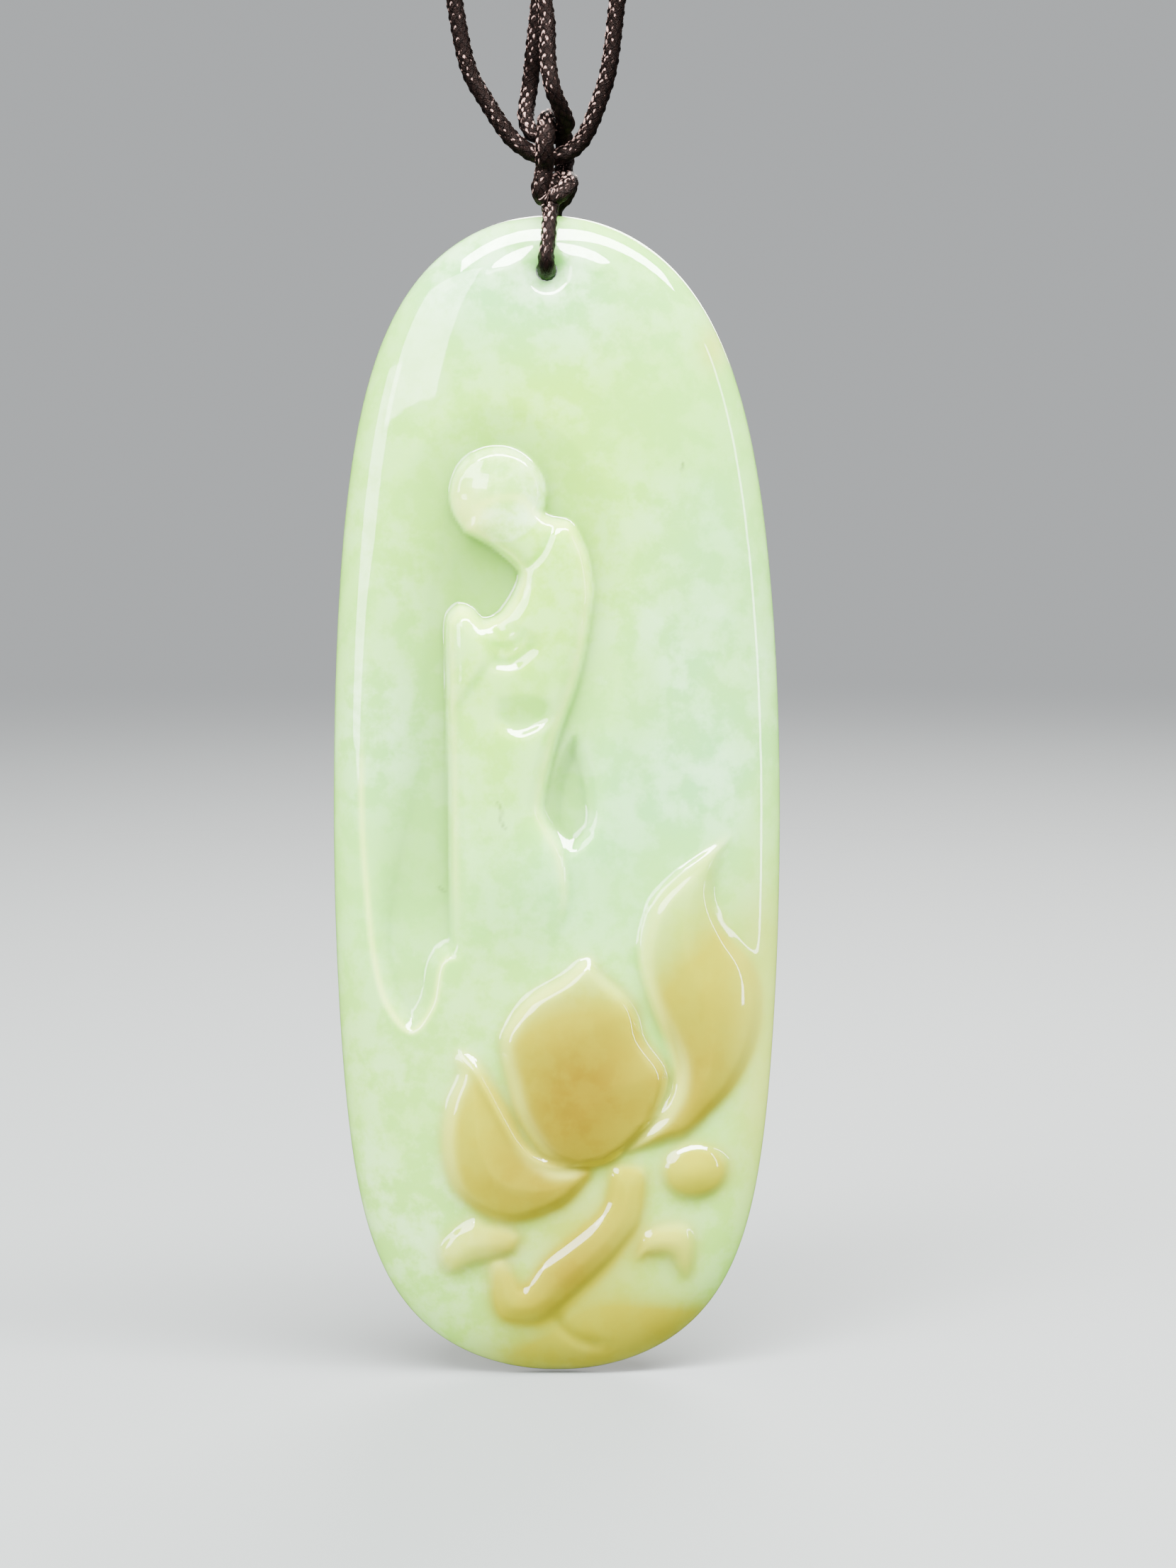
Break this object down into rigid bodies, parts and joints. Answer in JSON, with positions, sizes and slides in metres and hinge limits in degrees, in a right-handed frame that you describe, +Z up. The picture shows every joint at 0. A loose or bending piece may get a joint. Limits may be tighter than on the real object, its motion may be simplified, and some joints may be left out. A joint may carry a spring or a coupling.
{
  "type": "chinese jade pendant",
  "caption": "Carved oval jade pendant with a bowed robed figure over a lotus, hung from a knotted bail cord on a doubled braided cord necklace.",
  "frame": {"origin": "point at the top of the necklace where its cords rest on the neck", "axes": "+Z up along the hanging necklace, -Y the carved face, +X to the right as the carved face is seen"},
  "size_m": [0.118, 0.0072, 0.352],
  "materials": {
    "jade": "polished, pale green with an amber lotus, slightly translucent",
    "cord": "waxed dark reddish brown braid"
  },
  "bodies": {
    "necklace": {"neck_cord_outer": "cord", "neck_cord_inner": "cord", "nape_knot": "cord", "bail_eye": "cord", "bail_knot": "cord", "bail_loop": "cord"},
    "pendant": {"jade_plaque": "jade"}
  },
  "joints": [
    {"name": "pendant_swing", "type": "hinge", "parent": "necklace", "child": "pendant", "pos_m": [0, 0, -0.287], "axis": [0, 1, 0], "range_deg": [-20, 20]}
  ]
}
